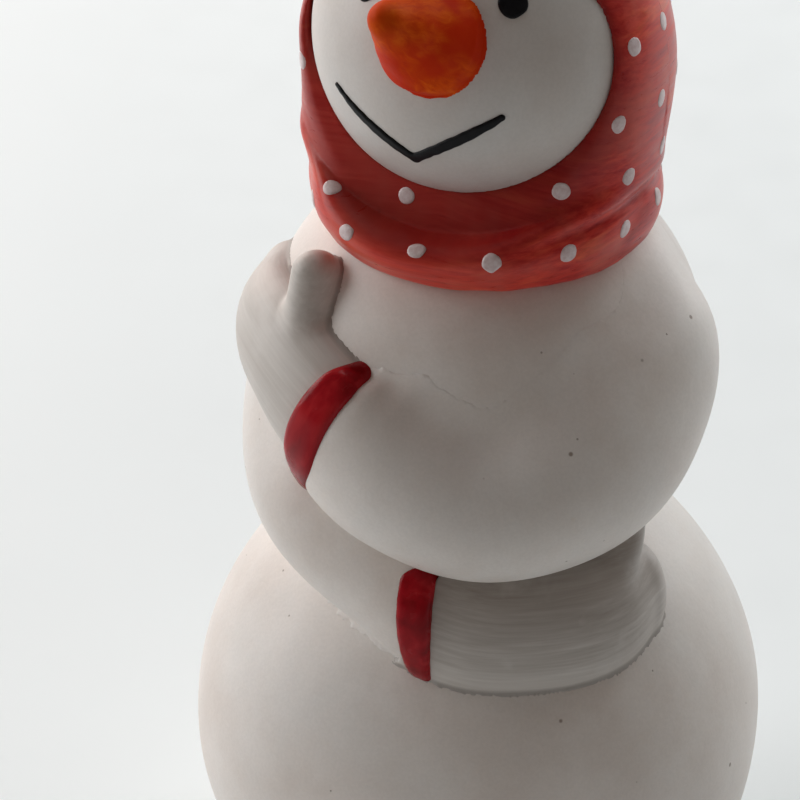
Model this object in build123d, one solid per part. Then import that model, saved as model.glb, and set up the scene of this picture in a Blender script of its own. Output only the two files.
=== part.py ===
"""Hugging snowman figure in painted ceramic, in millimetres.

Three hollow slip-cast balls stand on each other, each joined by a round spigot that drops into
the opening of the ball below.  Pressed arms, cuffs and mittens are luted on around the torso:
the left arm crosses high, with its mitten on the right shoulder, and the right arm crosses low,
with its mitten on the left hip.  A modelled kerchief, made of a hood and a neck wrap, covers the
head but for the face.  Raised enamel makes the eyes, their glints, the smile and the dots.

Frame: origin at the centre of the foot, +Z up, the face towards -Y, the figure's own left at +X.
Bearings are degrees round +Z from the front (-Y), positive towards the figure's left (+X).
"""

from build123d import *
import os
from math import cos, radians, sin, sqrt

# The three balls.
BALL_R, BALL_Z = 31.6, 26.5
TORSO_R, TORSO_Z = 23.5, 72.1
HEAD_R, HEAD_Z, HEAD_FORWARD = 17.4, 110.5, 1.0
WALL = 3.0

# Foot of the lower ball, and the vent that lets air and steam out of the hollow.
FOOT_ROUND = 2.0
FOOT_RECESS_R, FOOT_RECESS_DEPTH = 12.5, 1.0
VENT_R = 1.75

# Spigot joints at the waist and the neck.
SPIGOT_DEPTH, SPIGOT_WALL = 5.0, 2.6
WAIST_SPIGOT_R, NECK_SPIGOT_R = 11.0, 7.5
NECK_R, NECK_Z = 10.4, 91.5
SEAT_STEP = TORSO_Z - BALL_Z
WAIST_Z = BALL_Z + (SEAT_STEP**2 + BALL_R**2 - TORSO_R**2) / (2 * SEAT_STEP)

# Kerchief: the wrap is a roll from its hem on the torso up to the pinch, where the hood starts that
# covers the rest of the head.  The hood's opening is an oval; its lip is flared in front of LIP_Y.
ROLL_R, ROLL_CENTRE_R, ROLL_Z = 6.5, 11.9, 92.3
HEM_Z, PINCH_Z = 88.9, 95.2
CHEEK_R, CHEEK_Z = 19.1, 106.3
CROWN_Z = 130.2
PINCH_R = ROLL_CENTRE_R + sqrt(ROLL_R**2 - (PINCH_Z - ROLL_Z) ** 2)
JAW_ARC_R = ((CHEEK_Z - PINCH_Z) ** 2 + (CHEEK_R - PINCH_R) ** 2) / (2 * (CHEEK_R - PINCH_R))
OPENING_X, OPENING_Z, OPENING_HALF_WIDTH, OPENING_HALF_HEIGHT = -0.6, 111.7, 16.6, 14.0
LIP_Y, FLARE = -15.6, 3.0

# Nose, a blunt carrot on a tenon, tipped up and a little to the figure's right.
NOSE_Z = 116.7
NOSE_R, NOSE_TIP_R, NOSE_LENGTH = 5.4, 1.7, 11.0
NOSE_TILT, NOSE_BEARING = 33.0, -11.0
TENON_R = 2.2

# Raised enamel: each spot is a low dome, and the smile is two brush strokes that meet in a V.
DOME, DOME_ROOT = 0.25, 0.5
EYE_R, EYE_DOME = 1.5, 0.45
LEFT_EYE, RIGHT_EYE = (31, 120.0), (-29, 119.5)
GLINT_R, GLINT_SHIFT = 0.42, 0.5
STROKE_R = 0.45
SMILE_V, SMILE_RIGHT_END, SMILE_LEFT_END = (-5, 103.0), (-37, 108.5), (26, 109.0)

# Dots of the kerchief, in even rows round the opening.  A row is its height, its first and last
# bearings and its number of dots.
DOT_R = 1.05
DOT_ROWS = [
    (93.5, -50, 286, 15),
    (96.0, -41, -17, 2),
    (99.5, 46, 262, 10),
    (106.0, 64, 290, 11),
    (113.5, 72, 278, 11),
    (120.5, 70, 292, 8),
    (126.0, 40, 320, 6),
]

# Each limb is a loft through ovals.  An oval is its bearing, its distance from the axis, its
# height, and its half sizes outwards and along the body.
LEFT_ARM = [
    (106, 12.0, 83.0, 6.4, 6.4),
    (92, 15.6, 76.5, 9.6, 10.0),
    (70, 17.0, 71.5, 9.8, 11.6),
    (46, 18.6, 68.4, 9.8, 10.6),
    (20, 19.8, 66.6, 9.4, 9.0),
    (-4, 20.8, 69.2, 8.2, 8.8),
    (-19, 21.6, 72.7, 6.5, 8.8),
]
LEFT_CUFF = [(-16, 21.5, 72.5, 7.5, 9.5), (-23, 21.5, 73.5, 7.0, 9.0)]
LEFT_MITTEN = [
    (-19, 21.4, 72.7, 5.8, 8.1),
    (-28, 21.6, 74.2, 5.4, 7.8),
    (-44, 21.6, 76.2, 5.0, 7.6),
    (-62, 21.6, 76.6, 4.7, 7.2),
    (-80, 20.8, 77.4, 3.6, 5.6),
    (-89, 20.4, 77.8, 1.8, 3.0),
]
LEFT_THUMB = [
    (-34, 20.8, 79.0, 3.2, 2.5),
    (-37, 20.6, 83.2, 3.2, 2.6),
    (-39, 20.0, 87.0, 2.7, 2.4),
    (-40, 19.5, 89.0, 1.4, 1.3),
]
RIGHT_ARM = [
    (-106, 12.0, 80.0, 6.4, 6.4),
    (-94, 15.4, 71.0, 9.2, 9.2),
    (-70, 16.6, 63.8, 9.2, 9.2),
    (-36, 17.8, 59.4, 8.8, 8.4),
    (0, 19.2, 54.4, 7.4, 7.4),
    (6, 19.6, 53.6, 7.0, 7.6),
]
RIGHT_CUFF = [(3, 19.5, 53.0, 7.5, 9.0), (10.5, 20.0, 52.5, 7.5, 9.0)]
RIGHT_MITTEN = [
    (8, 19.8, 52.2, 6.5, 8.2),
    (20, 20.4, 51.0, 6.2, 8.7),
    (40, 20.5, 50.4, 6.2, 8.8),
    (56, 20.4, 50.0, 5.8, 8.2),
    (69, 20.0, 50.2, 4.2, 5.8),
    (76, 19.8, 50.2, 2.0, 3.0),
]
RIGHT_THUMB = [
    (50, 20.0, 53.0, 4.6, 3.6),
    (61, 19.8, 57.0, 4.2, 3.4),
    (68, 18.6, 61.4, 3.8, 3.0),
]

# Larger than the whole figure, for trimming.
BEYOND = 200.0
LOW_END = (Align.CENTER, Align.CENTER, Align.MIN)


def polar(bearing, rho, z):
    """A point at a bearing from the front, a distance from the axis and a height."""
    a = radians(bearing)
    return Vector(rho * sin(a), -rho * cos(a), z)


def ball(radius, z):
    return Pos(0, 0, z) * Sphere(radius)


def head(radius=HEAD_R):
    return Pos(0, -HEAD_FORWARD, HEAD_Z) * Sphere(radius)


def disc(radius, z_low, z_high):
    """A solid cylinder on the axis between two heights."""
    return Pos(0, 0, z_low) * Cylinder(radius, z_high - z_low, align=LOW_END)


def main_solid(shape):
    """The piece itself, without the crumbs that trimming can leave."""
    return max(shape.solids(), key=lambda solid: solid.volume)


def make_lower_ball():
    """Hollow ball with a flat foot, a recess and vent below, and a seat with an opening on top."""
    outer = ball(BALL_R, BALL_Z) & disc(BEYOND, 0, WAIST_Z)
    foot_edge = outer.edges().filter_by(GeomType.CIRCLE).sort_by(Axis.Z)[0]
    outer = fillet(foot_edge, FOOT_ROUND)
    hollow = ball(BALL_R - WALL, BALL_Z) & disc(BEYOND, WALL + FOOT_RECESS_DEPTH, WAIST_Z - WALL)
    opening = disc(WAIST_SPIGOT_R, BALL_Z, WAIST_Z)
    recess = disc(FOOT_RECESS_R, 0, FOOT_RECESS_DEPTH)
    vent = disc(VENT_R, 0, BALL_Z)
    return outer - hollow - opening - recess - vent


def make_torso_ball():
    """Hollow ball cut flat below and above, with a hollow spigot that drops into the lower ball."""
    outer = ball(TORSO_R, TORSO_Z) & disc(BEYOND, WAIST_Z, NECK_Z)
    hollow = ball(TORSO_R - WALL, TORSO_Z) & disc(BEYOND, WAIST_Z + WALL, NECK_Z - WALL)
    spigot = disc(WAIST_SPIGOT_R, WAIST_Z - SPIGOT_DEPTH, WAIST_Z)
    through = disc(WAIST_SPIGOT_R - SPIGOT_WALL, WAIST_Z - SPIGOT_DEPTH, TORSO_Z)
    opening = disc(NECK_SPIGOT_R, TORSO_Z, NECK_Z)
    return outer + spigot - hollow - through - opening


def on_head(bearing, z):
    """The point of the face at a bearing round the head's own centre and a height."""
    point = polar(bearing, sqrt(HEAD_R**2 - (z - HEAD_Z) ** 2), z)
    return point - Vector(0, HEAD_FORWARD, 0)


def nose_frame():
    """The nose's own frame: its origin on the face, its z axis along the carrot."""
    axis = polar(NOSE_BEARING, cos(radians(NOSE_TILT)), sin(radians(NOSE_TILT)))
    return Plane(origin=on_head(0, NOSE_Z), z_dir=axis)


def make_nose():
    """A blunt cone with a round tip that sits on the face, and the tenon behind it."""
    shoulder = NOSE_LENGTH - NOSE_TIP_R
    cone = Cone(NOSE_R, NOSE_TIP_R, shoulder, align=LOW_END)
    root = Pos(0, 0, -WALL) * Cylinder(NOSE_R, WALL, align=LOW_END)
    carrot = nose_frame() * (cone + root + Pos(0, 0, shoulder) * Sphere(NOSE_TIP_R)) - head()
    tenon = nose_tenon() & (head() - head(HEAD_R - WALL))
    return carrot + main_solid(tenon)


def nose_tenon():
    """The peg on the back of the carrot, longer than the head's wall is thick."""
    return nose_frame() * Pos(0, 0, -2 * WALL) * Cylinder(TENON_R, 2 * WALL + DOME, align=LOW_END)


def make_head_ball():
    """Hollow ball on a short neck, with a spigot below and a socket for the nose's tenon."""
    outer = head() + disc(NECK_R, NECK_Z, HEAD_Z) + disc(NECK_SPIGOT_R, NECK_Z - SPIGOT_DEPTH, NECK_Z)
    through = disc(NECK_SPIGOT_R - SPIGOT_WALL, NECK_Z - SPIGOT_DEPTH, HEAD_Z)
    return outer - head(HEAD_R - WALL) - through - nose_tenon()


def hood_r(z):
    """The hood's outer radius at a height: an oval crown over a slack jaw."""
    if z > CHEEK_Z:
        return CHEEK_R * sqrt(1 - ((z - CHEEK_Z) / (CROWN_Z - CHEEK_Z)) ** 2)
    return CHEEK_R - JAW_ARC_R + sqrt(JAW_ARC_R**2 - (z - CHEEK_Z) ** 2)


def hood_body():
    """The hood's outer shape, turned about the axis."""
    levels = [PINCH_Z, (PINCH_Z + CHEEK_Z) / 2]
    levels += [CHEEK_Z + (CROWN_Z - CHEEK_Z) * sin(radians(t)) for t in range(0, 90, 15)]
    points = [(hood_r(z), z) for z in levels] + [(0, CROWN_Z)]
    outline = Spline(*points, tangents=((0.2, 1), (-1, 0)))
    inside = Polyline((0, CROWN_Z), (0, PINCH_Z), (PINCH_R, PINCH_Z))
    return revolve(Plane.XZ * make_face([outline, *inside.edges()]), Axis.Z)


def wrap_body():
    """The neck wrap's outer shape, a round roll turned about the axis, from its hem to the pinch."""
    hem_r = ROLL_CENTRE_R + sqrt(ROLL_R**2 - (HEM_Z - ROLL_Z) ** 2)
    hem, pinch = (hem_r, HEM_Z), (PINCH_R, PINCH_Z)
    roll = ThreePointArc(hem, (ROLL_CENTRE_R + ROLL_R, ROLL_Z), pinch)
    inside = Polyline(pinch, (0, PINCH_Z), (0, HEM_Z), hem)
    return revolve(Plane.XZ * make_face([roll, *inside.edges()]), Axis.Z)


def opening_oval(y, flare):
    """The outline of the hood's opening in an upright plane, widened by a flare."""
    plane = Plane(origin=(OPENING_X, y, OPENING_Z), x_dir=(1, 0, 0), z_dir=(0, -1, 0))
    return plane * Ellipse(OPENING_HALF_WIDTH + flare, OPENING_HALF_HEIGHT + flare)


def make_hood():
    """The hood is cut away over the face, with a flared lip, and fits the head inside."""
    opening = extrude(opening_oval(0, 0), BEYOND)
    lip = loft([opening_oval(LIP_Y, 0), opening_oval(LIP_Y - FLARE, FLARE)])
    return main_solid(hood_body() - opening - lip - head() - disc(NECK_R, NECK_Z, HEAD_Z))


def make_neck_wrap():
    solid = wrap_body() - ball(TORSO_R, TORSO_Z) - disc(NECK_R, NECK_Z, HEAD_Z) - head()
    return main_solid(solid)


def limb(stations):
    """A loft through a limb's ovals, each square to the line through its neighbours."""
    centres = [polar(*station[:3]) for station in stations]
    sections = []
    for i, (centre, station) in enumerate(zip(centres, stations)):
        ahead = centres[min(i + 1, len(centres) - 1)]
        behind = centres[max(i - 1, 0)]
        outward = polar(station[0], 1, 0)
        frame = Plane(origin=centre, x_dir=outward, z_dir=ahead - behind)
        sections.append(frame * Ellipse(station[3], station[4]))
    return loft(sections)


def make_limbs(wrap):
    """Both arms with their cuffs and mittens, each trimmed to what it was pressed on to."""
    core = [ball(BALL_R, BALL_Z), ball(TORSO_R, TORSO_Z)]
    left_cuff, right_cuff = limb(LEFT_CUFF), limb(RIGHT_CUFF)
    left_arm = limb(LEFT_ARM) - left_cuff
    right_arm = limb(RIGHT_ARM) - right_cuff
    left_hand = limb(LEFT_MITTEN) + limb(LEFT_THUMB)
    right_hand = limb(RIGHT_MITTEN) + limb(RIGHT_THUMB)
    whole = {
        "left_cuff": left_cuff,
        "left_arm": left_arm,
        "right_cuff": right_cuff - left_arm,
        "right_arm": right_arm - left_cuff - left_arm,
        "left_mitten": left_hand - left_cuff - right_arm - wrap,
        "right_mitten": right_hand - right_cuff - left_arm,
    }
    return {name: main_solid(piece - core) for name, piece in whole.items()}


def dome(point, normal, radius, height):
    """A low cap that stands out of the surface at a point, with some depth to trim off below."""
    sphere_r = (radius**2 + height**2) / (2 * height)
    cap = Pos(0, 0, height - sphere_r) * Sphere(sphere_r)
    cap &= Pos(0, 0, -DOME_ROOT) * Cylinder(2 * radius, 2 * sphere_r, align=LOW_END)
    return Plane(origin=point, z_dir=normal) * cap


def on_face_dome(bearing, z, radius, height, lift=0.0):
    point = on_head(bearing, z)
    normal = point - Vector(0, -HEAD_FORWARD, HEAD_Z)
    return dome(point + normal.normalized() * lift, normal, radius, height)


def make_eyes():
    """Each eye is a domed spot of enamel, with a dot of white on its upper left."""
    eyes = [on_face_dome(*place, EYE_R, EYE_DOME) - head() for place in (LEFT_EYE, RIGHT_EYE)]
    glints = []
    for (bearing, z), eye in zip((LEFT_EYE, RIGHT_EYE), eyes):
        glint = on_face_dome(bearing, z + GLINT_SHIFT, GLINT_R, DOME, lift=EYE_DOME * 0.8)
        glints.append(main_solid(glint - eye - head()))
    return eyes, glints


def make_smile():
    """Two bent brush strokes, round in section, standing half out of the face."""
    strokes = []
    for end in (SMILE_RIGHT_END, SMILE_LEFT_END):
        middle = [(a + b) / 2 for a, b in zip(SMILE_V, end)]
        line = ThreePointArc(*[on_head(*place) for place in (SMILE_V, middle, end)])
        strokes.append(sweep(Plane(origin=line @ 0, z_dir=line % 0) * Circle(STROKE_R), path=line))
        strokes += [Pos(*(line @ end)) * Sphere(STROKE_R) for end in (0, 1)]
    brush = strokes[0].fuse(*strokes[1:])
    return main_solid(brush - head())


def row_places(rows):
    """The bearing and height of each dot of some rows."""
    return [
        (first + (last - first) * i / (count - 1), z)
        for z, first, last, count in rows
        for i in range(count)
    ]


def make_dots(places, kerchief):
    """Low domes of enamel, each where a level line from the axis leaves the kerchief."""
    dots = []
    for bearing, z in places:
        line = Axis(origin=(0, 0, z), direction=polar(bearing, 1, 0))
        hits = [hit for piece in kerchief for hit in piece.find_intersection_points(line)]
        point, normal = max(hits, key=lambda hit: hit[0].dot(line.direction))
        if normal.dot(line.direction) < 0:
            normal = -normal
        dots.append(main_solid(dome(point, normal, DOT_R, DOME) - kerchief))
    return dots


def main():
    """Builds every piece and writes one STEP file for each."""
    os.makedirs("parts", exist_ok=True)
    pieces = {"lower_ball": make_lower_ball(), "torso_ball": make_torso_ball()}
    pieces["head_ball"] = make_head_ball()
    pieces["hood"] = make_hood()
    pieces["neck_wrap"] = make_neck_wrap()
    pieces.update(make_limbs(pieces["neck_wrap"]))
    pieces["carrot_nose"] = make_nose()
    (pieces["left_eye"], pieces["right_eye"]), glints = make_eyes()
    pieces["eye_glints"] = Compound(glints)
    pieces["smile"] = make_smile()
    kerchief = [pieces["hood"], pieces["neck_wrap"]]
    pieces["kerchief_dots"] = Compound(make_dots(row_places(DOT_ROWS), kerchief))
    for name, piece in pieces.items():
        export_step(piece, f"parts/{name}.step")
        print(name, round(piece.volume), len(piece.solids()), piece.bounding_box())


if __name__ == "__main__":
    main()
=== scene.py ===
"""Looks of the hugging snowman figure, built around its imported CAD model.

Every piece is a closed mesh made from a distance field: a function that is below zero inside the
piece and whose value is about the distance, in millimetres, to its surface.  Fields are joined
with rounded unions, which gives the soft fillets of slip-cast clay, and turned into quads.
Bearings are degrees round +Z from the front (-Y), positive towards the figure's left (+X).
"""

from math import cos, pi, radians, sin, sqrt

import bpy
import numpy as np
import openvdb
from mathutils import Matrix, Vector


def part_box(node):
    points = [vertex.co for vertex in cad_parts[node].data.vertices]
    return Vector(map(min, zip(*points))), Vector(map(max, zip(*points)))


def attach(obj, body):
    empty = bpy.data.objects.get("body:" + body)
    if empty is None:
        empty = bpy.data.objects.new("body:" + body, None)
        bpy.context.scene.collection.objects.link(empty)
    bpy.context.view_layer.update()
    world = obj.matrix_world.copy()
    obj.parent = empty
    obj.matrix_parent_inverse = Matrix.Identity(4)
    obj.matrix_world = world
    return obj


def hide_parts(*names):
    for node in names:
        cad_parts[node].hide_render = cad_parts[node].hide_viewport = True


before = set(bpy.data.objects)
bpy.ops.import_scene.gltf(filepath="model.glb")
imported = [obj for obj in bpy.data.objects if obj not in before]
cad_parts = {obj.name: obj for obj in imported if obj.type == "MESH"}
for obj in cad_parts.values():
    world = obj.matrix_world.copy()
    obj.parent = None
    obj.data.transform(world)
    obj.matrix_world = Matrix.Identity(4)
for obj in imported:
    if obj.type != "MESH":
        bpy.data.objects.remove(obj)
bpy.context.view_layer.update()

MM = 0.001

# The part's own driving dimensions, in millimetres.
BALL_R, BALL_Z = 31.6, 26.5
TORSO_R, TORSO_Z = 23.5, 72.1
HEAD_R, HEAD_Z, HEAD_FORWARD = 17.4, 110.5, 1.0
SEAT_STEP = TORSO_Z - BALL_Z
WAIST_Z = BALL_Z + (SEAT_STEP**2 + BALL_R**2 - TORSO_R**2) / (2 * SEAT_STEP)
FOOT_ROUND, FOOT_RECESS_R, FOOT_RECESS_DEPTH, VENT_R = 2.0, 12.5, 1.0, 1.75
ROLL_R, ROLL_CENTRE_R, ROLL_Z = 6.5, 11.9, 92.3
HEM_Z, PINCH_Z = 88.9, 95.2
CHEEK_R, CHEEK_Z, CROWN_Z = 19.1, 106.3, 130.2
OPENING_X, OPENING_Z, OPENING_HALF_WIDTH, OPENING_HALF_HEIGHT = -0.6, 111.7, 16.6, 14.0
NOSE_Z, NOSE_R, NOSE_TIP_R, NOSE_LENGTH = 116.7, 5.4, 1.7, 11.0
NOSE_TILT, NOSE_BEARING = 33.0, -11.0


# ---------------------------------------------------------------- fields

def smooth_min(a, b, k):
    """Union of two fields with a fillet of about k."""
    h = np.maximum(k - np.abs(a - b), 0) / k
    return np.minimum(a, b) - h * h * k / 4


def smooth_max(a, b, k):
    """Intersection of two fields with an edge rounded by about k."""
    return -smooth_min(-a, -b, k)


def soft_min(a, b, k):
    """As smooth_min, with a fillet that leaves both surfaces even more gradually."""
    h = np.maximum(k - np.abs(a - b), 0) / k
    return np.minimum(a, b) - h * h * h * k / 6


def length(v):
    return np.sqrt((v * v).sum(-1))


def step01(x, low, high):
    """0 below low, 1 above high, and smooth between."""
    t = np.clip((x - low) / (high - low), 0, 1)
    return t * t * (3 - 2 * t)


def sphere(p, radius, centre):
    return length(p - np.array(centre, float)) - radius


def bearing_of(p):
    return np.degrees(np.arctan2(p[:, 0], -p[:, 1]))


def around(p):
    """Distance from the axis."""
    return np.hypot(p[:, 0], p[:, 1])


def polar(bearing, rho, z):
    a = radians(bearing)
    return np.array((rho * sin(a), -rho * cos(a), z))


def lumps(p, size, seed):
    """Soft unevenness of hand-finished clay, between about -1 and 1, in waves of about that size."""
    rng = np.random.default_rng(seed)
    total = np.zeros(len(p))
    waves = 7
    for _ in range(waves):
        direction = rng.normal(size=3)
        direction *= 2 * pi / size / np.linalg.norm(direction) * rng.uniform(0.6, 1.5)
        total += np.sin(p @ direction + rng.uniform(0, 2 * pi))
    return total / sqrt(waves)


def torso(p):
    return sphere(p, TORSO_R, (0, 0, TORSO_Z)) + 0.10 * lumps(p, 26, 3)


def lower(p):
    return sphere(p, BALL_R, (0, 0, BALL_Z)) + 0.12 * lumps(p, 30, 5)


def head(p):
    return sphere(p, HEAD_R, (0, -HEAD_FORWARD, HEAD_Z)) + 0.05 * lumps(p, 18, 7)


# ---------------------------------------------------------------- limbs

def catmull(points, per_span):
    """Points along a smooth line through the given rows."""
    rows = np.array(points, float)
    rows = np.vstack([2 * rows[0] - rows[1], rows, 2 * rows[-1] - rows[-2]])
    t = np.linspace(0, 1, per_span, endpoint=False)[:, None]
    out = []
    for a, b, c, d in zip(rows, rows[1:], rows[2:], rows[3:]):
        out.append(b + 0.5 * t * (c - a + t * (2 * a - 5 * b + 4 * c - d + t * (3 * (b - c) + d - a))))
    return np.vstack([*out, rows[-2:-1]])


class Limb:
    """A tube of oval section along a smooth line.  Its stations are (bearing, distance from the
    axis, height, half depth outwards, half height along the body)."""

    PER_SPAN = 10

    def __init__(self, stations, softness=0.0):
        self.softness = softness
        rows = [(*polar(*s[:3]), s[3], s[4]) for s in stations]
        line = catmull(rows, self.PER_SPAN)
        self.points, self.radii = line[:, :3], line[:, 3:]
        self.run = np.concatenate([[0], np.cumsum(length(np.diff(self.points, axis=0)))])
        self.tangents = np.gradient(self.points, axis=0)
        self.tangents /= length(self.tangents)[:, None]

    def nearest(self, p):
        """For each point: distance along the limb, offsets outwards and up, and the half sizes."""
        best = np.full(len(p), np.inf)
        index = np.zeros(len(p), int)
        for i, q in enumerate(self.points):
            d = ((p - q) ** 2).sum(-1)
            closer = d < best
            best[closer], index[closer] = d[closer], i
        if self.softness:
            run = self.blended_run(p, best)
        else:
            run = self.run[index] + ((p - self.points[index]) * self.tangents[index]).sum(-1)
        run = np.clip(run, 0, self.run[-1])
        at = np.stack([np.interp(run, self.run, c) for c in self.points.T], -1)
        tangent = np.stack([np.interp(run, self.run, c) for c in self.tangents.T], -1)
        radii = np.stack([np.interp(run, self.run, c) for c in self.radii.T], -1)
        out = at * (1, 1, 0)
        out /= np.maximum(length(out), 1e-6)[:, None]
        out -= (out * tangent).sum(-1)[:, None] * tangent
        out /= np.maximum(length(out), 1e-6)[:, None]
        up = np.cross(tangent, out)
        up *= np.sign(up[:, 2:3]) + (up[:, 2:3] == 0)
        d = p - at
        return run, d, (d * out).sum(-1), (d * up).sum(-1), (d * tangent).sum(-1), radii

    def blended_run(self, p, best):
        """The distance along the limb, blended between places that are about equally near, so that
        it has no jump where a point lies inside a bend."""
        reach = self.run[-1] / len(self.run)
        total = weights = 0
        for q, tangent, start in zip(self.points, self.tangents, self.run):
            d = p - q
            weight = np.exp((best - (d * d).sum(-1)) / self.softness)
            total = total + weight * (start + np.clip(d @ tangent, -reach, reach))
            weights = weights + weight
        return total / weights

    def field(self, p, grow=0.0):
        """The tube's field, the distance along it, and the offsets up and out from its line."""
        run, d, out, up, along, radii = self.nearest(p)
        radii = radii + grow
        a, b = radii[:, 0], radii[:, 1]
        c = np.minimum(a, b)
        k0 = np.sqrt((out / a) ** 2 + (up / b) ** 2 + (along / c) ** 2)
        k1 = np.sqrt((out / a**2) ** 2 + (up / b**2) ** 2 + (along / c**2) ** 2)
        value = np.where(k1 > 1e-9, k0 * (k0 - 1) / np.maximum(k1, 1e-9), -c)
        return value, run, up, out


# ---------------------------------------------------------------- meshes

def polygonise(field, low, high, step):
    """Quads of the surface field = 0 inside a box, with their corners pulled on to it."""
    axes = [np.arange(a, b + step, step) for a, b in zip(low, high)]
    shape = [len(a) for a in axes]
    values = np.empty(shape, np.float32)
    for i, x in enumerate(axes[0]):
        y, z = np.meshgrid(axes[1], axes[2], indexing="ij")
        layer = np.stack([np.full(y.size, x), y.ravel(), z.ravel()], -1)
        values[i] = field(layer).reshape(y.shape)
    grid = openvdb.FloatGrid(float(step * 3))
    grid.copyFromArray(values)
    points, quads = grid.convertToQuads(isovalue=0.0)
    points = points.astype(float) * step + np.array([a[0] for a in axes])
    for _ in range(3):
        value, slope = field_and_slope(field, points)
        move = value[:, None] * slope / np.maximum((slope * slope).sum(-1), 0.05)[:, None]
        points -= np.clip(move, -0.4 * step, 0.4 * step)
    return points, quads


def field_and_slope(field, points):
    """The field at some points and its gradient there, by differences to a small tetrahedron."""
    corners = np.array([(1, 1, 1), (1, -1, -1), (-1, 1, -1), (-1, -1, 1)], float)
    reach = 0.01
    values = [field(points + reach * c) for c in corners]
    slope = sum(v[:, None] * c for v, c in zip(values, corners)) / (4 * reach)
    return sum(values) / 4, slope


def make_object(name, points, faces, material, brush=None):
    """A smooth-shaded object from points in millimetres; brush gives each of them its place in
    the run of the brush, for the materials that have brush strokes."""
    mesh = bpy.data.meshes.new(name)
    mesh.from_pydata((points * MM).tolist(), [], faces.tolist())
    mesh.validate()
    mesh.materials.append(material)
    mesh.polygons.foreach_set("use_smooth", np.ones(len(mesh.polygons), bool))
    if brush is not None:
        layer = mesh.attributes.new("brush", "FLOAT_VECTOR", "POINT")
        layer.data.foreach_set("vector", np.ascontiguousarray(brush(points), np.float32).ravel())
    mesh.update()
    piece = bpy.data.objects.new(name, mesh)
    bpy.context.scene.collection.objects.link(piece)
    return piece


def make_piece(node, field, margin, step, material, brush=None):
    """The piece of the figure that stands for a CAD node; it may reach out of its box by a margin."""
    low, high = (np.array(corner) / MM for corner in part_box(node))
    points, quads = polygonise(field, low - margin, high + margin, step)
    piece = make_object(node, points, quads, material, brush)
    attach(piece, "root")
    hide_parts(node)
    print(node, len(points), "points")


# ---------------------------------------------------------------- body and arms

BURIED = 0.8        # how far a pressed-on piece reaches below the surface it lies on
FEATHER = 0.012     # how far its thin edge dives below that surface
STEEPNESS = 20      # how steeply it dives
FILLET = 0.8        # the narrowest fillet of an arm
ARM_SOFTNESS, HAND_SOFTNESS = 12.0, 3.0  # in square millimetres

LEFT_ARM = Limb([
    (106, 12.0, 83.0, 6.4, 6.4),
    (92, 15.6, 76.5, 9.6, 10.0),
    (70, 17.0, 71.5, 9.8, 11.6),
    (46, 18.6, 68.4, 9.8, 10.6),
    (20, 19.8, 66.6, 9.4, 9.0),
    (-4, 20.8, 69.2, 8.2, 8.8),
    (-21, 21.7, 73.0, 6.4, 8.9),
    (-32, 21.8, 75.2, 5.8, 8.0),
], ARM_SOFTNESS)
LEFT_MITTEN = Limb([
    (-14, 21.4, 71.8, 6.0, 8.2),
    (-28, 21.6, 74.2, 5.4, 7.8),
    (-44, 21.6, 76.2, 5.0, 7.6),
    (-62, 21.6, 76.6, 4.7, 7.2),
    (-80, 20.8, 77.4, 3.6, 5.6),
], HAND_SOFTNESS)
LEFT_THUMB = Limb([
    (-34, 20.8, 79.0, 3.2, 2.5),
    (-37, 20.6, 83.2, 3.2, 2.6),
    (-39, 20.0, 87.0, 2.7, 2.4),
])
RIGHT_ARM = Limb([
    (-106, 12.0, 80.0, 6.4, 6.4),
    (-94, 15.4, 71.0, 9.2, 9.2),
    (-70, 16.6, 63.8, 9.2, 9.2),
    (-36, 17.8, 59.4, 8.8, 8.4),
    (0, 19.2, 54.4, 7.4, 7.4),
    (16, 20.2, 52.4, 6.6, 7.8),
], ARM_SOFTNESS)
RIGHT_MITTEN = Limb([
    (0, 19.4, 53.0, 6.6, 8.0),
    (20, 20.4, 51.0, 6.2, 8.7),
    (40, 20.5, 50.4, 6.2, 8.8),
    (56, 20.4, 49.8, 5.8, 8.4),
    (69, 20.2, 49.8, 4.6, 6.8),
], HAND_SOFTNESS)
RIGHT_THUMB = Limb([
    (50, 20.0, 53.0, 4.6, 3.6),
    (61, 19.8, 57.0, 4.2, 3.4),
    (68, 18.6, 61.4, 3.8, 3.0),
])
LEFT_CUFF = Limb([
    (-6, 20.8, 70.6, 8.4, 9.8),
    (-20, 21.6, 72.9, 6.9, 9.2),
    (-34, 21.8, 75.4, 6.2, 8.2),
], HAND_SOFTNESS)
RIGHT_CUFF = Limb([
    (-8, 19.0, 54.2, 7.9, 8.6),
    (6, 19.6, 53.0, 7.5, 8.9),
    (20, 20.4, 51.4, 7.0, 9.3),
], HAND_SOFTNESS)
LEFT_CUFF_AT, RIGHT_CUFF_AT = (-16, -24), (3, 10.5)
LEFT_TILT, LEFT_SKEW, RIGHT_TILT = -0.1, -0.15, 0.25


def run_at(limb, bearing):
    """The distance along a limb at which its line has a bearing."""
    bearings = bearing_of(limb.points)
    order = np.argsort(bearings)
    return float(np.interp(bearing, bearings[order], limb.run[order]))


def wrist(limb, at):
    """The distance along a limb of the middle of its cuff."""
    return (run_at(limb, at[0]) + run_at(limb, at[1])) / 2


def pressed_on(shape, under, fillet):
    """A shape luted on to the surface under it, with a fillet, as a piece of its own: it keeps a
    little clay below that surface, and its edge feathers out just under it."""
    sunk = under + FEATHER
    joined = soft_min(sunk, shape, 1.5 * fillet)
    edge = joined - sunk + FEATHER / 4
    return np.maximum(np.maximum(joined, -(under + BURIED)), STEEPNESS * edge)


def body(p):
    return smooth_min(torso(p), lower(p), 1.0)


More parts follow.
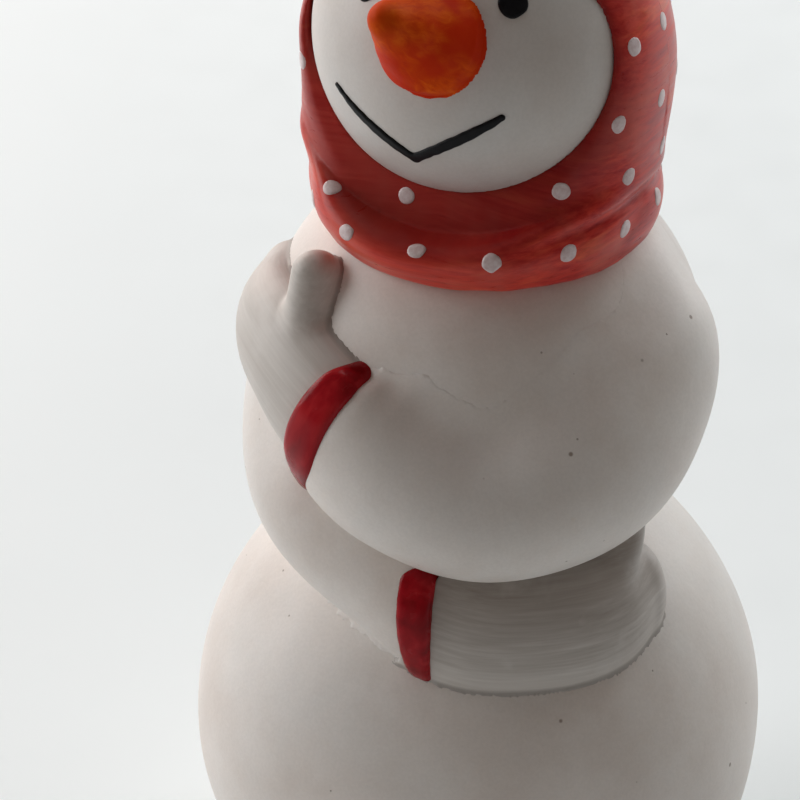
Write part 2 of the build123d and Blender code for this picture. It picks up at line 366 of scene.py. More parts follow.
def arm(limb, at, tilt, skew, rounding, low_fillet, top_fillet, reach):
    """An arm that ends in the leaning section where its cuff sits.  Its fillet against the body is
    wider along its top than below, and narrows over a reach towards the cuff."""
    middle_run = wrist(limb, at)

    def field(p):
        tube, run, up, out = limb.field(p)
        end = middle_run - tilt * up - skew * out
        widening = (low_fillet + top_fillet * step01(up, -3, 5)) * step01(end - run, 0, reach)
        return pressed_on(smooth_max(tube, run - end, rounding), body(p), FILLET + widening)

    return field


left_arm = arm(LEFT_ARM, LEFT_CUFF_AT, LEFT_TILT, LEFT_SKEW, 2.0, 0.0, 2.2, 5)
right_arm = arm(RIGHT_ARM, RIGHT_CUFF_AT, RIGHT_TILT, 0.0, 1.0, 0.6, 1.6, 10)


def cuff(limb, at, tilt, skew, top, taper):
    """A band round a limb that leans by a tilt and bows by a skew.  It ends round at its top, and
    narrows by a taper towards its lower end."""
    middle_run = wrist(limb, at)
    half = (run_at(limb, at[1]) - run_at(limb, at[0])) / 2

    def field(p):
        tube, run, up, out = limb.field(p)
        across = run + tilt * up + skew * out - middle_run
        past_top = np.maximum(up - (top - half), 0)
        band = np.hypot(across, past_top) - half * (1 - taper * step01(-up, 1, 9))
        return np.maximum(smooth_max(tube, band, 0.9), -(body(p) + BURIED))

    return field


left_cuff = cuff(LEFT_CUFF, LEFT_CUFF_AT, LEFT_TILT, LEFT_SKEW, 8.5, 0.6)
right_cuff = cuff(RIGHT_CUFF, RIGHT_CUFF_AT, RIGHT_TILT, 0.0, 6.2, 0.0)


def mitten(hand, thumb, limb, at, under, web):
    """A hand and its thumb, starting inside the cuff."""
    start = wrist(limb, at)

    def field(p):
        shape = smooth_min(hand.field(p)[0], thumb.field(p)[0], web)
        shape = np.maximum(shape, start - limb.field(p)[1])
        return pressed_on(shape, under(p), 0.5)

    return field


def under_left_hand(p):
    return smooth_min(body(p), RIGHT_ARM.field(p)[0], 3.0)


left_mitten = mitten(LEFT_MITTEN, LEFT_THUMB, LEFT_ARM, LEFT_CUFF_AT, under_left_hand, 1.2)
right_mitten = mitten(RIGHT_MITTEN, RIGHT_THUMB, RIGHT_ARM, RIGHT_CUFF_AT, body, 1.2)


def lower_ball(p):
    """The lower ball with its flat rounded foot, recess, vent and flat seat."""
    rho, z = around(p), p[:, 2]
    solid = smooth_max(lower(p), -z, FOOT_ROUND)
    solid = np.maximum(solid, z - WAIST_Z)
    recess = smooth_max(rho - FOOT_RECESS_R, z - FOOT_RECESS_DEPTH, 0.4)
    vent = np.maximum(rho - VENT_R, z - 8)
    return smooth_max(solid, -np.minimum(recess, vent), 0.5)


def torso_ball(p):
    """The torso down to a little below the waist, so that no gap shows."""
    return np.maximum(torso(p), WAIST_Z - 1.5 - p[:, 2])


# ---------------------------------------------------------------- head

PINCH_R = ROLL_CENTRE_R + sqrt(ROLL_R**2 - (PINCH_Z - ROLL_Z) ** 2)
FOLD_LOW, FOLD_TOP = 91.0, 96.0     # heights of the fold at the front and at the side
FOLD_TURN = 70.0                    # the bearing at which it levels out
FOLD_WIDTH, RIDGE_RISE, RIDGE_WIDTH = 0.8, 1.6, 1.3     # its groove, and the ridge above that
PINCH_SOFT, FRONT_SOFTER, SIDE_SHARPER = 5.0, 4.0, 4.4   # the blend of hood and wrap
LIP_FLARE = 1.0                     # how much the cloth thins towards the face
CHEEK_BULGE, CHEEK_TUCK = 0.7, 0.8  # over the right cheek the hood is fuller and the wrap slimmer
CHEEK_BEARING, CHEEK_SPREAD = -75, 40


def hood_shape(p):
    """The hood's outside: an oval crown over a slack jaw that tucks in at the pinch."""
    z = p[:, 2] - CHEEK_Z
    rho = around(p)
    rise = CROWN_Z - CHEEK_Z
    k0 = np.sqrt((rho / CHEEK_R) ** 2 + (z / rise) ** 2)
    k1 = np.sqrt((rho / CHEEK_R**2) ** 2 + (z / rise**2) ** 2)
    crown = k0 * (k0 - 1) / np.maximum(k1, 1e-6)
    jaw_arc = ((CHEEK_Z - PINCH_Z) ** 2 + (CHEEK_R - PINCH_R) ** 2) / (2 * (CHEEK_R - PINCH_R))
    jaw = np.hypot(rho - (CHEEK_R - jaw_arc), z) - jaw_arc
    return np.where(z > 0, crown, jaw)


def wrap_shape(p):
    return np.hypot(around(p) - ROLL_CENTRE_R, p[:, 2] - ROLL_Z) - ROLL_R


def opening(p):
    """The oval over the face, flared so that the cloth thins towards the face."""
    x, z = p[:, 0] - OPENING_X, p[:, 2] - OPENING_Z
    k0 = np.sqrt((x / OPENING_HALF_WIDTH) ** 2 + (z / OPENING_HALF_HEIGHT) ** 2)
    k1 = np.sqrt((x / OPENING_HALF_WIDTH**2) ** 2 + (z / OPENING_HALF_HEIGHT**2) ** 2)
    oval = k0 * (k0 - 1) / np.maximum(k1, 1e-6)
    flare = LIP_FLARE * np.clip(head(p), 0, 4) * step01(-z, -4, 8)
    return np.where(p[:, 1] < 1, oval - flare, 5.0)


def fold_height(bearing):
    """The height of the fold between hood and wrap: level behind, sliding down across the front
    on the figure's left and gone on its right."""
    rise = np.sin(0.5 * pi * np.clip(bearing / FOLD_TURN, 0, 1))
    top = FOLD_TOP + (PINCH_Z - FOLD_TOP) * step01(bearing, 85, 105)
    return FOLD_LOW + (top - FOLD_LOW) * rise


def kerchief(p):
    """Hood and wrap as one soft cloth, with the pinch between them and the fold in front."""
    bearing, z = bearing_of(p), p[:, 2]
    sharp = np.where(bearing > 0, step01(bearing, 50, 85), step01(-bearing, 66, 100))
    roll = np.maximum(wrap_shape(p), z - PINCH_Z - 3)
    jaw = smooth_max(hood_shape(p), PINCH_Z - 1.5 - z, 1.5)
    front = 1 - np.where(bearing > 0, step01(bearing, 10, 50), step01(-bearing, 20, 60))
    softness = PINCH_SOFT + FRONT_SOFTER * front * step01(z, 89, 94) - SIDE_SHARPER * sharp
    cloth = smooth_min(jaw, roll, softness)
    below = fold_height(bearing) - z
    drape = np.interp(bearing, (0, 30, 75, 140, 180), (0, 0.30, 0.42, 0.42, 0))
    groove = np.exp(-((below / FOLD_WIDTH) ** 2))
    ridge = np.exp(-(((below + RIDGE_RISE) / RIDGE_WIDTH) ** 2))
    cloth = cloth + drape * groove - 0.5 * drape * ridge
    bulge = CHEEK_BULGE * step01(z, 95, 101) * step01(-z, -118, -108)
    tuck = CHEEK_TUCK * step01(-z, -99, -95)
    cloth = cloth - (bulge - tuck) * np.exp(-(((bearing - CHEEK_BEARING) / CHEEK_SPREAD) ** 2))
    cloth = cloth + 0.10 * lumps(p, 14, 11)
    cloth = smooth_max(cloth, HEM_Z - z + 0.10 * lumps(p, 4, 13), 0.8)
    return smooth_max(cloth, -opening(p), 0.8 + 0.8 * np.clip(head(p), 0, 3))


SPLIT_BLEND = 0.02  # how proud one piece of cloth lies where it runs over the other


def below_hood(p):
    """Above zero on the wrap's side of the split between it and the hood."""
    return PINCH_Z - p[:, 2]


def hood(p):
    side = below_hood(p)
    shell = kerchief(p) + SPLIT_BLEND * (2 * step01(side, -2, 2) - 1)
    shell = np.maximum(shell, side - 1.2)
    return np.maximum(shell, -(head(p) + 0.5))


def neck_wrap(p):
    piece = np.maximum(kerchief(p), -1.2 - below_hood(p))
    return np.maximum(piece, -np.minimum(torso(p), head(p)) - BURIED)


def head_ball(p):
    neck = np.maximum(around(p) - 10.4, np.abs(p[:, 2] - 96) - 5)
    return np.minimum(head(p), neck)


def nose_frame():
    tilt = radians(NOSE_TILT)
    axis = polar(NOSE_BEARING, cos(tilt), sin(tilt))
    rise = NOSE_Z - HEAD_Z
    root = np.array((0, -HEAD_FORWARD - sqrt(HEAD_R**2 - rise**2), NOSE_Z))
    return root, axis


def carrot(p):
    root, axis = nose_frame()
    d = p - root
    t = d @ axis
    rho = length(d - t[:, None] * axis)
    shoulder = NOSE_LENGTH - NOSE_TIP_R
    slope = (NOSE_R - NOSE_TIP_R) / shoulder
    side = (rho - NOSE_R + slope * np.maximum(t, 0)) / sqrt(1 + slope**2)
    shape = smooth_max(side, t - NOSE_LENGTH + 0.4, 1.8)
    return shape + 0.06 * lumps(p, 5, 17)


def carrot_nose(p):
    return pressed_on(carrot(p), head(p), 0.3)


# ---------------------------------------------------------------- enamel

ROOT = 0.3          # how far enamel reaches below the surface it lies on
SMILE_PROUD = 0.25
EYE_PROUD, GLINT_PROUD, DOT_PROUD = 0.4, 0.5, 0.12
DOT_R, EYE_R, GLINT_R = 1.0, 1.5, 0.4


def islands(node):
    """The boxes of a CAD node's separate solids, in millimetres, in the order of their meshes."""
    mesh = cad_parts[node].data
    points = np.array([v.co for v in mesh.vertices]) / MM
    keys = {}
    merged = np.array([keys.setdefault(tuple(q), len(keys)) for q in np.round(points, 3)])
    parent = list(range(len(keys)))

    def root(i):
        while parent[i] != i:
            parent[i] = parent[parent[i]]
            i = parent[i]
        return i

    for polygon in mesh.polygons:
        first, *others = [merged[i] for i in polygon.vertices]
        for other in others:
            parent[root(other)] = root(first)
    groups = {}
    for i, key in enumerate(merged):
        groups.setdefault(root(key), []).append(points[i])
    return [(np.min(g, 0), np.max(g, 0)) for g in groups.values()]


def middle(box):
    return (box[0] + box[1]) / 2


def settled(centre, under):
    """The place on a surface level with a point close to it, straight out from the axis."""
    outward = centre * (1, 1, 0)
    outward = outward / np.linalg.norm(outward)
    for _ in range(5):
        value, slope = field_and_slope(under, centre[None])
        centre = centre - value[0] / max(slope[0] @ outward, 0.4) * outward
    return centre


def spot(centre, under, radius, proud, seed):
    """A dab of enamel: a flat dome with an uneven outline on the surface under it."""
    rng = np.random.default_rng(seed)
    stretch = rng.uniform(0.86, 1.16)
    axis = rng.normal(size=3)
    axis /= np.linalg.norm(axis)

    def field(p):
        d = p - centre
        d = d + (stretch - 1) * (d @ axis)[:, None] * axis
        ragged = 0.06 * radius * lumps(p, 1.6 * radius, seed)
        surface = under(p)
        dome = surface - proud * (1 - 0.5 * (length(d) / radius) ** 2)
        return np.maximum(smooth_max(length(d) - radius + ragged, dome, 0.18), -(surface + ROOT))

    return field


def cluster(name, fields, centres, reach, step, material, node):
    """One piece of several small closed meshes."""
    points, quads, count = [], [], 0
    for field, centre in zip(fields, centres):
        some, faces = polygonise(field, centre - reach, centre + reach, step)
        points.append(some)
        quads.append(faces + count)
        count += len(some)
    piece = make_object(name, np.vstack(points), np.vstack(quads), material)
    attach(piece, "root")
    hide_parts(node)
    print(name, count, "points")
    return piece


def on_head(bearing, z):
    rho = sqrt(HEAD_R**2 - (z - HEAD_Z) ** 2)
    return polar(bearing, rho, z) - np.array((0, HEAD_FORWARD, 0))


SMILE_V, SMILE_RIGHT_END, SMILE_LEFT_END = (-5, 103.0), (-37, 108.5), (26, 109.0)


def stroke(end, widths):
    """A brush stroke on the face from the smile's V to an end, with half widths spread along it."""
    places = np.linspace(SMILE_V, end, len(widths))
    line = catmull([(*on_head(*place), w) for place, w in zip(places, widths)], 12)

    def field(p):
        best = np.full(len(p), np.inf)
        for a, b in zip(line, line[1:]):
            ab = b[:3] - a[:3]
            t = np.clip(((p - a[:3]) @ ab) / (ab @ ab), 0, 1)
            width = a[3] + t * (b[3] - a[3])
            best = np.minimum(best, length(p - a[:3] - t[:, None] * ab) - width)
        return best

    return field


SMILE_RIGHT = stroke(SMILE_RIGHT_END, (0.56, 0.62, 0.52, 0.28))
SMILE_LEFT = stroke(SMILE_LEFT_END, (0.56, 0.60, 0.58, 0.40))


def smile(p):
    line = smooth_min(SMILE_RIGHT(p), SMILE_LEFT(p), 0.3) + 0.03 * lumps(p, 1.5, 23)
    surface = head(p)
    return np.maximum(smooth_max(line, surface - SMILE_PROUD, 0.2), -(surface + ROOT))


# ---------------------------------------------------------------- materials

class Paint:
    """A procedural material, with its sizes in millimetres."""

    def __init__(self, name):
        self.material = bpy.data.materials.new(name)
        self.material.use_nodes = True
        self.nodes, self.links = self.material.node_tree.nodes, self.material.node_tree.links
        self.shader = self.nodes["Principled BSDF"]
        self.place = self.scaled(self.nodes.new("ShaderNodeTexCoord").outputs["Object"], (1 / MM,) * 3)

    def scaled(self, vector, scale, turn=0.0):
        node = self.nodes.new("ShaderNodeMapping")
        node.inputs["Scale"].default_value = scale
        node.inputs["Rotation"].default_value = (0, 0, radians(turn))
        self.links.new(vector, node.inputs["Vector"])
        return node.outputs["Vector"]

    def brush_place(self):
        """Where a point is along, across and above its limb or cloth, in millimetres."""
        node = self.nodes.new("ShaderNodeAttribute")
        node.attribute_name = "brush"
        return node.outputs["Vector"]

    def noise(self, vector, size, detail=3.0, roughness=0.5, distortion=0.0,
              stretch=(1, 1, 1), turn=0.0):
        """Noise whose features are about size millimetres, squeezed by stretch along each axis."""
        texture = self.nodes.new("ShaderNodeTexNoise")
        texture.inputs["Scale"].default_value = 1.0
        texture.inputs["Detail"].default_value = detail
        texture.inputs["Roughness"].default_value = roughness
        texture.inputs["Distortion"].default_value = distortion
        squeezed = self.scaled(vector, tuple(s / size for s in stretch), turn)
        self.links.new(squeezed, texture.inputs["Vector"])
        return texture.outputs["Fac"]

    def ramp(self, value, *stops):
        """A colour ramp: stops are (position, colour), where a single number is a grey."""
        node = self.nodes.new("ShaderNodeValToRGB")
        elements = node.color_ramp.elements
        while len(elements) < len(stops):
            elements.new(0.5)
        for element, (position, colour) in zip(elements, stops):
            element.position = position
            element.color = (*(colour if isinstance(colour, tuple) else (colour,) * 3), 1)
        self.links.new(value, node.inputs["Fac"])
        return node.outputs["Color"]

    def mix(self, factor, a, b, mode="MIX"):
        node = self.nodes.new("ShaderNodeMix")
        node.data_type = "RGBA"
        node.blend_type = mode
        for socket, value in ((node.inputs[0], factor), (node.inputs[6], a), (node.inputs[7], b)):
            if isinstance(value, (int, float)):
                socket.default_value = value
            elif isinstance(value, tuple):
                socket.default_value = (*value, 1)
            else:
                self.links.new(value, socket)
        return node.outputs[2]

    def part_of(self, vector, axis, low, high):
        """Rises from 0 to 1 as one coordinate of a vector goes from low to high."""
        split = self.nodes.new("ShaderNodeSeparateXYZ")
        self.links.new(vector, split.inputs[0])
        node = self.nodes.new("ShaderNodeMapRange")
        node.inputs["From Min"].default_value = low
        node.inputs["From Max"].default_value = high
        self.links.new(split.outputs[axis], node.inputs["Value"])
        return node.outputs["Result"]

    def specks(self, spacing, radius, chance):
        """Small round spots, 1 inside and 0 outside; the higher the chance, the fewer there are."""
        cells = self.nodes.new("ShaderNodeTexVoronoi")
        cells.inputs["Scale"].default_value = 1 / spacing
        self.links.new(self.place, cells.inputs["Vector"])
        edge = radius / spacing
        spot = self.ramp(cells.outputs["Distance"], (0.6 * edge, 1.0), (edge, 0.0))
        chosen = self.ramp(self.noise(self.place, 6, 1), (chance, 0.0), (chance + 0.04, 1.0))
        return self.mix(1.0, spot, chosen, "MULTIPLY")

    def bump(self, *heights):
        """Adds bumps: each is a height map and its depth in millimetres."""
        normal = None
        for height, depth in heights:
            node = self.nodes.new("ShaderNodeBump")
            node.inputs["Distance"].default_value = depth * MM
            self.links.new(height, node.inputs["Height"])
            if normal is not None:
                self.links.new(normal, node.inputs["Normal"])
            normal = node.outputs["Normal"]
        self.links.new(normal, self.shader.inputs["Normal"])

    def finish(self, colour, roughness, coat=0.0, coat_roughness=0.1, milky=0.0, sheen=0.5):
        shader = self.shader
        shader.inputs["Specular IOR Level"].default_value = sheen
        self.links.new(colour, shader.inputs["Base Color"])
        self.links.new(roughness, shader.inputs["Roughness"])
        shader.inputs["Coat Weight"].default_value = coat
        shader.inputs["Coat Roughness"].default_value = coat_roughness
        if milky:
            shader.inputs["Subsurface Weight"].default_value = milky
            shader.inputs["Subsurface Radius"].default_value = (1.0, 0.75, 0.6)
            shader.inputs["Subsurface Scale"].default_value = 1.2 * MM
        return self.material


def white_glaze():
    """Off-white satin glaze over white clay: cloudy warm and cool patches, a few pale tan stains,
    pin holes and dark specks, and painted shade that darkens the head to a greyer face."""
    paint = Paint("white_glaze")
    clouds = paint.noise(paint.place, 8, 5, 0.6)
    base = paint.ramp(clouds, (0.32, (0.735, 0.665, 0.615)), (0.68, (0.815, 0.765, 0.725)))
    veil = paint.ramp(paint.noise(paint.place, 22, 3), (0.45, 0.0), (0.7, 0.5))
    base = paint.mix(veil, base, (0.77, 0.765, 0.75))
    stain = paint.ramp(paint.noise(paint.place, 7, 4, 0.7), (0.70, 0.0), (0.78, 0.55))
    base = paint.mix(stain, base, (0.70, 0.60, 0.49))
    # Painted shade: from about 96 mm up, which is the head, the white is darkened by about a sixth.
    face_shade = paint.ramp(paint.part_of(paint.place, 2, 96, 100), (0.0, 1.0), (1.0, 0.84))
    base = paint.mix(1.0, base, face_shade, "MULTIPLY")
    fine = paint.ramp(paint.noise(paint.place, 0.35, 2), (0.35, 0.96), (0.65, 1.0))
    base = paint.mix(1.0, base, fine, "MULTIPLY")
    speck = paint.specks(5.5, 0.30, 0.52)
    pin_hole = paint.specks(3.1, 0.14, 0.50)
    base = paint.mix(speck, base, (0.34, 0.28, 0.24))
    base = paint.mix(pin_hole, base, (0.42, 0.36, 0.32))
    rough = paint.ramp(paint.noise(paint.place, 4, 4), (0.3, 0.40), (0.7, 0.54))
    uneven, grain = paint.noise(paint.place, 5, 3), paint.noise(paint.place, 0.6, 3)
    paint.bump((uneven, 0.10), (grain, 0.012), (pin_hole, -0.06))
    return paint.finish(base, rough, coat=0.12, coat_roughness=0.35, milky=0.12)


def grey_wash():
    """A thin warm grey wash brushed lengthwise over the white, with painted shade at the top of the
    hand under the forearm, paler lower down, and painted light making the left hand paler.
    """
    paint = Paint("grey_wash")
    along = paint.brush_place()
    streaks = paint.noise(along, 0.45, 3, 0.6, 0.3, (0.05, 1, 1))
    broad = paint.noise(along, 2.2, 3, 0.55, 0.4, (0.16, 1, 1))
    hairs = paint.ramp(streaks, (0.30, (0.36, 0.315, 0.28)),
                       (0.52, (0.47, 0.43, 0.395)), (0.72, (0.60, 0.565, 0.53)))
    wash = paint.ramp(broad, (0.30, (0.37, 0.325, 0.29)), (0.70, (0.57, 0.535, 0.50)))
    base = paint.mix(0.5, hairs, wash)
    # Painted shade: the wash darkens towards the top of the hand, where it lies under the forearm.
    shade_under_forearm = paint.part_of(along, 1, 1.0, 8.0)
    base = paint.mix(paint.ramp(shade_under_forearm, (0.0, 0.0), (1.0, 0.45)), base, (0.22, 0.185, 0.16))
    # Paler lower down the hand; the left mitten's shift puts all of it in this paler tone, as painted
    # light.
    paler_below = paint.part_of(along, 1, -1.0, -4.0)
    base = paint.mix(paint.ramp(paler_below, (0.0, 0.0), (1.0, 0.38)), base, (0.72, 0.68, 0.64))
    seam = paint.ramp(paint.part_of(along, 2, 0.0, 1.2), (0.10, 0.55), (0.45, 0.0))
    base = paint.mix(seam, base, (0.20, 0.17, 0.15))
    bare = paint.ramp(paint.noise(paint.place, 5, 3, 0.6), (0.55, 0.0), (0.72, 0.35))
    base = paint.mix(bare, base, (0.68, 0.65, 0.62))
    speck = paint.specks(4.2, 0.2, 0.55)
    base = paint.mix(speck, base, (0.16, 0.13, 0.11))
    rough = paint.ramp(streaks, (0.3, 0.38), (0.7, 0.52))
    paint.bump((streaks, 0.03), (broad, 0.06), (speck, -0.05))
    return paint.finish(base, rough, coat=0.10, coat_roughness=0.35, milky=0.06)


def red_wash():
    """Translucent red glaze in several overlapping brushed coats: orange where thin, deep where thick,
    on the kerchief's own run of brush round the head, with painted light on the figure's right and
    painted shade beside the face."""
    paint = Paint("red_wash")
    along = paint.brush_place()
    coat = paint.noise(along, 2.6, 4, 0.6, 0.5, (0.13, 1, 1))
    lines = paint.noise(along, 0.6, 4, 0.65, 0.3, (0.07, 1, 1))
    base = paint.ramp(coat, (0.30, (0.32, 0.003, 0.007)), (0.44, (0.54, 0.016, 0.014)),
                      (0.58, (0.68, 0.045, 0.025)), (0.72, (0.82, 0.140, 0.050)))
    thin = paint.ramp(lines, (0.38, (0.36, 0.006, 0.009)), (0.62, (0.76, 0.075, 0.048)))
    base = paint.mix(0.42, base, thin)
    patch = paint.ramp(paint.noise(paint.place, 7, 3, 0.6), (0.45, 0.0), (0.68, 0.6))
    base = paint.mix(patch, base, (0.64, 0.12, 0.085))
    # Painted light: lighter over the figure's right half, on the side of the brighter lights, fading
    # out across the front.
    front = paint.ramp(paint.part_of(along, 0, 14.0, -2.0), (0.0, 0.0), (1.0, 0.35))
    base = paint.mix(front, base, (0.76, 0.10, 0.065))
    # Painted shade: darker within about 2 mm of the face opening, where the cloth dips beside the face.
    shade_by_face = paint.part_of(along, 2, 1.8, 0.0)
    base = paint.mix(paint.ramp(shade_by_face, (0.1, 0.0), (0.9, 0.6)), base, (0.16, 0.001, 0.004))
    speck = paint.specks(3.4, 0.10, 0.55)
    base = paint.mix(speck, base, (0.12, 0.004, 0.006))
    rough = paint.ramp(lines, (0.3, 0.26), (0.7, 0.42))
    paint.bump((lines, 0.025), (coat, 0.06))
    return paint.finish(base, rough, coat=0.06, coat_roughness=0.22, milky=0.04, sheen=0.2)


def deep_red():
    """Thick glossy red, nearly black where it pooled, with faint strokes across the band."""
    paint = Paint("deep_red")
    along = paint.brush_place()
    strokes = paint.noise(along, 1.6, 3, 0.55, 0.4, (1, 0.2, 1))
    base = paint.ramp(strokes, (0.30, (0.19, 0.001, 0.004)), (0.55, (0.33, 0.003, 0.009)),
                      (0.75, (0.48, 0.020, 0.024)))
    cloud = paint.ramp(paint.noise(paint.place, 3, 3), (0.45, 0.0), (0.75, 0.5))
    base = paint.mix(cloud, base, (0.42, 0.016, 0.020))
    rough = paint.ramp(paint.noise(paint.place, 1.5, 3), (0.3, 0.16), (0.7, 0.28))
    paint.bump((strokes, 0.05), (paint.noise(paint.place, 0.8, 2), 0.012))
    return paint.finish(base, rough, coat=0.05, coat_roughness=0.12, sheen=0.12)


def orange_wash():
    """Orange on the carrot, with one broad darker stroke slanting across it."""
    paint = Paint("orange_wash")
    along = paint.brush_place()
    lines = paint.noise(along, 0.7, 4, 0.6, 0.6, (0.25, 1, 1), 35)
    base = paint.ramp(lines, (0.28, (0.56, 0.030, 0.0)), (0.55, (0.72, 0.075, 0.002)),
                      (0.78, (0.82, 0.15, 0.010)))
    stroke = paint.ramp(paint.noise(along, 5.5, 2, 0.5, 0.3, (0.6, 1, 1), 35), (0.44, 0.0), (0.54, 0.9))
    base = paint.mix(stroke, base, (0.58, 0.022, 0.001))
    tip = paint.part_of(along, 0, NOSE_LENGTH - 4.5, NOSE_LENGTH)
    base = paint.mix(paint.ramp(tip, (0.0, 0.0), (1.0, 0.45)), base, (0.60, 0.10, 0.006))
    rough = paint.ramp(lines, (0.3, 0.48), (0.7, 0.62))
    paint.bump((lines, 0.03), (paint.noise(paint.place, 2.5, 3), 0.08))
    return paint.finish(base, rough, coat=0.01, coat_roughness=0.2, sheen=0.05)


def enamel(name, dark, light, size, roughness, sheen):
    """Dabs of one colour, a little thinner and lighter in places."""
    paint = Paint(name)
    uneven = paint.noise(paint.place, size, 4, 0.6)
    base = paint.ramp(uneven, (0.32, dark), (0.68, light))
    rough = paint.ramp(paint.noise(paint.place, size, 3), (0.3, roughness), (0.7, roughness + 0.12))
    paint.bump((uneven, 0.03))
    return paint.finish(base, rough, coat=0.2 * sheen, coat_roughness=0.12, sheen=sheen)


WHITE, GREY, RED, DEEP_RED, ORANGE = (
    white_glaze(), grey_wash(), red_wash(), deep_red(), orange_wash())
BLACK = enamel("black_enamel", (0.003, 0.003, 0.004), (0.009, 0.009, 0.011), 1.2, 0.34, 0.12)
PALE = enamel("pale_enamel", (0.62, 0.47, 0.47), (0.80, 0.70, 0.71), 0.7, 0.30, 0.3)


# ---------------------------------------------------------------- pieces

STEP = 0.4   # the finest pieces use a part of it
# The left mitten's brush height is shifted down by this much, so all of it takes the paler tone as
# painted light and none of the painted shade.
LEFT_HAND_LIGHT_SHIFT = 16.0                   # how much lower the wash lies on the left mitten


def along_limb(limb, under=body, thin=0.0):
    """Brush places along a limb: the distance along it, the height above its line less a shift, which
    sets the grey wash's painted shade and paler tone, and the depth of clay above what lies under it."""

    def brush(points):
        _, run, up, _ = limb.field(points)
        return np.stack([run, up - thin, under(points)], -1)

    return brush


def round_head(points):
    """Brush places on the kerchief: round it, up it, and the distance from the face opening."""
    turn = np.radians(bearing_of(points)) * CHEEK_R
    lean = points[:, 2] + 0.10 * np.abs(turn)
    return np.stack([turn, lean, np.maximum(opening(points), 0)], -1)


def along_nose(points):
    root, axis = nose_frame()
    d = points - root
    run = d @ axis
    side = np.cross(axis, (0, 0, 1))
    return np.stack([run, d @ side, d @ np.cross(side, axis)], -1)


make_piece("lower_ball", lower_ball, 1, STEP * 1.4, WHITE)
make_piece("torso_ball", torso_ball, 1, STEP * 1.2, WHITE)
make_piece("head_ball", head_ball, 1, STEP, WHITE)
make_piece("left_arm", left_arm, 8, STEP, WHITE)
make_piece("right_arm", right_arm, 8, STEP, WHITE)
make_piece("left_cuff", left_cuff, 3, STEP * 0.6, DEEP_RED, along_limb(LEFT_CUFF))
make_piece("right_cuff", right_cuff, 3, STEP * 0.6, DEEP_RED, along_limb(RIGHT_CUFF))
make_piece("left_mitten", left_mitten, 6, STEP * 0.8, GREY,
           along_limb(LEFT_MITTEN, under_left_hand, LEFT_HAND_LIGHT_SHIFT))
make_piece("right_mitten", right_mitten, 6, STEP * 0.8, GREY, along_limb(RIGHT_MITTEN))
make_piece("hood", hood, 2, STEP, RED, round_head)
make_piece("neck_wrap", neck_wrap, 2, STEP, RED, round_head)
make_piece("carrot_nose", carrot_nose, 4, STEP * 0.6, ORANGE, along_nose)
make_piece("smile", smile, 0.6, 0.12, BLACK)

for node, seed in (("left_eye", 31), ("right_eye", 32)):
    centre = settled(middle([np.array(corner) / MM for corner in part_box(node)]), head)
    make_piece(node, spot(centre, head, EYE_R, EYE_PROUD, seed), 0.8, 0.15, BLACK)
glints = [settled(middle(box), head) for box in islands("eye_glints")]
fields = [spot(c, head, GLINT_R, GLINT_PROUD, 40 + i) for i, c in enumerate(glints)]
cluster("eye_glints", fields, glints, 0.9, 0.08, PALE, "eye_glints")
dots = [settled(middle(box), kerchief) for box in islands("kerchief_dots")]
fields = [spot(c, kerchief, DOT_R, DOT_PROUD, 50 + i) for i, c in enumerate(dots)]
cluster("kerchief_dots", fields, dots, 1.6, 0.16, PALE, "kerchief_dots")


# ---------------------------------------------------------------- floor, light and camera

def floor():
    """A wide pale sheet that everything stands on."""
    side = 6.0
    mesh = bpy.data.meshes.new("floor")
    corners = [(-side, -side, 0), (side, -side, 0), (side, side, 0), (-side, side, 0)]
    mesh.from_pydata(corners, [], [(0, 1, 2, 3)])
    piece = bpy.data.objects.new("floor", mesh)
    bpy.context.scene.collection.objects.link(piece)
    paint = Paint("floor")
    clouds = paint.noise(paint.place, 60, 2)
    tone = paint.ramp(clouds, (0.3, (0.87, 0.90, 0.91)), (0.7, (0.89, 0.92, 0.93)))
    rough = paint.ramp(paint.noise(paint.place, 9, 3), (0.3, 0.5), (0.7, 0.7))
    material = paint.finish(tone, rough)
    mesh.materials.append(material)


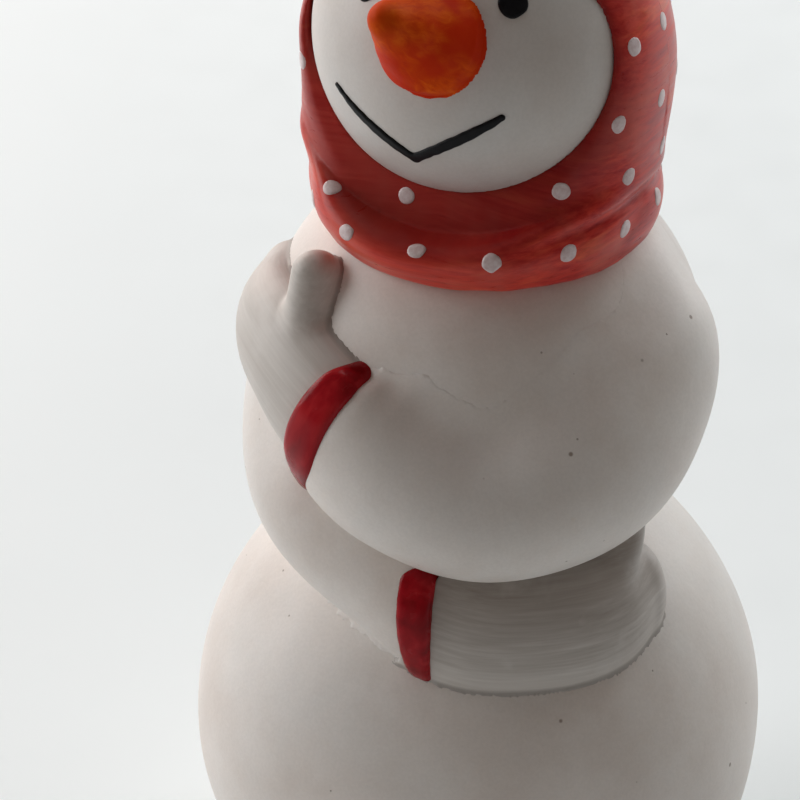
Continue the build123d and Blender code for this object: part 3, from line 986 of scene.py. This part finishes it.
def area_light(name, bearing, elevation, power, tint):
    """A soft round light on a dome over the figure."""
    light = bpy.data.lights.new(name, "AREA")
    light.shape = "DISK"
    light.size = LIGHT_SIZE
    light.energy = power
    light.color = tint
    lamp = bpy.data.objects.new(name, light)
    level = LIGHT_DISTANCE * cos(radians(elevation))
    turn = radians(bearing)
    height = LIGHT_DISTANCE * sin(radians(elevation)) + DOME_Z
    lamp.location = (level * sin(turn), -level * cos(turn), height)
    lamp.rotation_euler = (Vector((0, 0, AIM_Z)) - lamp.location).to_track_quat("-Z", "Y").to_euler()
    bpy.context.scene.collection.objects.link(lamp)


LIGHT_SIZE, LIGHT_DISTANCE = 0.6, 0.8    # metres
DOME_Z, AIM_Z = 0.05, 0.07
WARM, NEUTRAL, COOL = (1.0, 0.9, 0.85), (1.0, 1.0, 1.0), (0.8, 0.95, 1.0)


def studio():
    """Two soft lights on the figure's right, one behind its left, one overhead and a dim room."""
    area_light("back_left", -125, 20, 3.0, WARM)
    area_light("side_left", -80, 20, 3.0, NEUTRAL)
    area_light("back_right", 155, 20, 2.5, NEUTRAL)
    area_light("overhead", 180, 65, 2.0, COOL)
    world = bpy.data.worlds.new("world")
    world.use_nodes = True
    background = world.node_tree.nodes["Background"]
    background.inputs["Color"].default_value = (1.0, 0.85, 0.75, 1)
    background.inputs["Strength"].default_value = 0.15
    bpy.context.scene.world = world


def camera():
    """Three-quarter view from above on the figure's left, aimed a little beside its middle."""
    azimuth, elevation, distance = radians(20.0), radians(25.5), 376.0
    pan, pitch, lens = radians(1.5), radians(31.4), 166.5
    aim_z = 111.0
    flat = distance * cos(elevation)
    eye = Vector((sin(azimuth) * flat, -cos(azimuth) * flat, aim_z + distance * sin(elevation)))
    ahead = Vector((-sin(azimuth), cos(azimuth), 0))
    right = Vector((cos(azimuth), sin(azimuth), 0))
    ahead, right = ahead * cos(pan) - right * sin(pan), right * cos(pan) + ahead * sin(pan)
    look = ahead * cos(pitch) - Vector((0, 0, 1)) * sin(pitch)
    up = Vector((0, 0, 1)) * cos(pitch) + ahead * sin(pitch)
    data = bpy.data.cameras.new("camera")
    data.lens = lens
    data.sensor_width = 36.0
    data.clip_start, data.clip_end = 0.01, 20
    view = bpy.data.objects.new("camera", data)
    view.matrix_world = Matrix.Translation(eye * MM) @ Matrix((right, up, -look)).transposed().to_4x4()
    bpy.context.scene.collection.objects.link(view)
    bpy.context.scene.camera = view


floor()
studio()
camera()
bpy.context.scene.view_settings.view_transform = "Standard"
